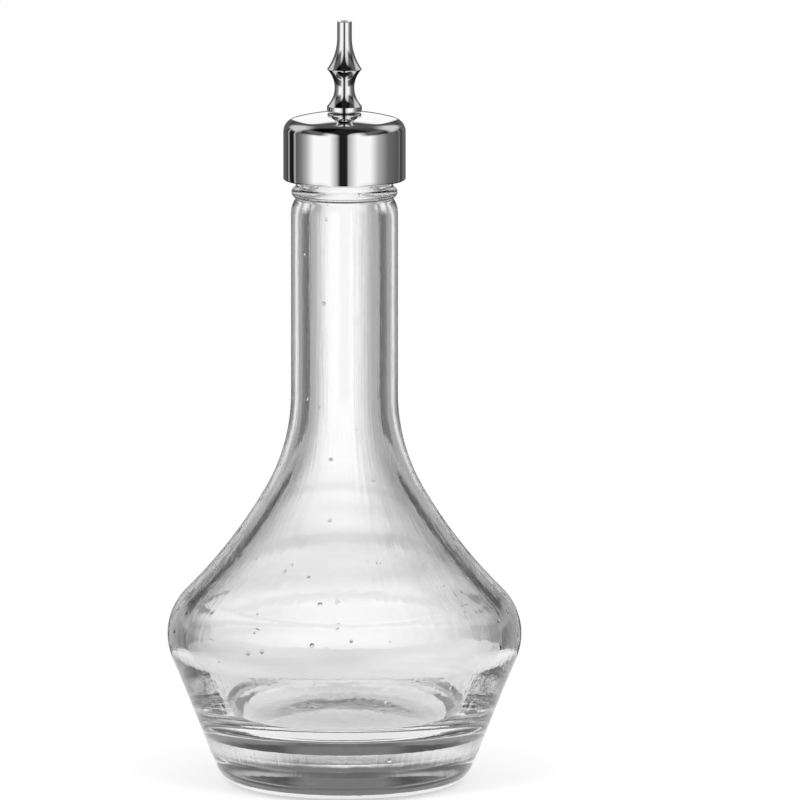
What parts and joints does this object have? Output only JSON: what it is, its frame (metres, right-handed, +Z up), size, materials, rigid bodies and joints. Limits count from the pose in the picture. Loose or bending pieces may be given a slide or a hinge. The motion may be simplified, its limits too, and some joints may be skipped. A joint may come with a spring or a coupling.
{
  "type": "bitters bottle",
  "caption": "Clear glass bitters bottle with a wide tapered body and long neck, closed by a polished metal screw cap that carries a turned dasher spout.",
  "frame": {"origin": "middle of the underside, on the bottle's axis, at the level the bottle stands on", "axes": "+Z up along the bottle's axis to the spout's tip; the bottle is round, so X and Y are only fixed by the start of the thread"},
  "size_m": [0.07, 0.07, 0.1516],
  "materials": {
    "clear_glass": "clear, fire polished, slightly wavy",
    "polished_metal": "mirror polished",
    "spout_metal": "turned and polished",
    "nut_metal": "plain stainless",
    "liner_plastic": "moulded, natural white",
    "soft_seal": "translucent white silicone"
  },
  "bodies": {
    "bottle": {"glass_bottle": "clear_glass"},
    "washer": {"seal_washer": "soft_seal"},
    "cap": {"cap_shell": "polished_metal", "cap_thread_liner": "liner_plastic", "dasher_spout": "spout_metal", "spout_gasket": "soft_seal", "spout_nut": "nut_metal"}
  },
  "joints": [
    {"name": "cap_lift", "type": "slide", "parent": "bottle", "child": "washer", "axis": [0, 0, 1], "range_m": [0, 0.0128]},
    {"name": "cap_turn", "type": "hinge", "parent": "washer", "child": "cap", "pos_m": [0, 0, 0.1293], "axis": [0, 0, 1], "range_deg": [0, 1440]}
  ],
  "couplings": [
    {"joint": "cap_lift", "follows": "cap_turn", "m_per_rad": 0.00050532}
  ]
}
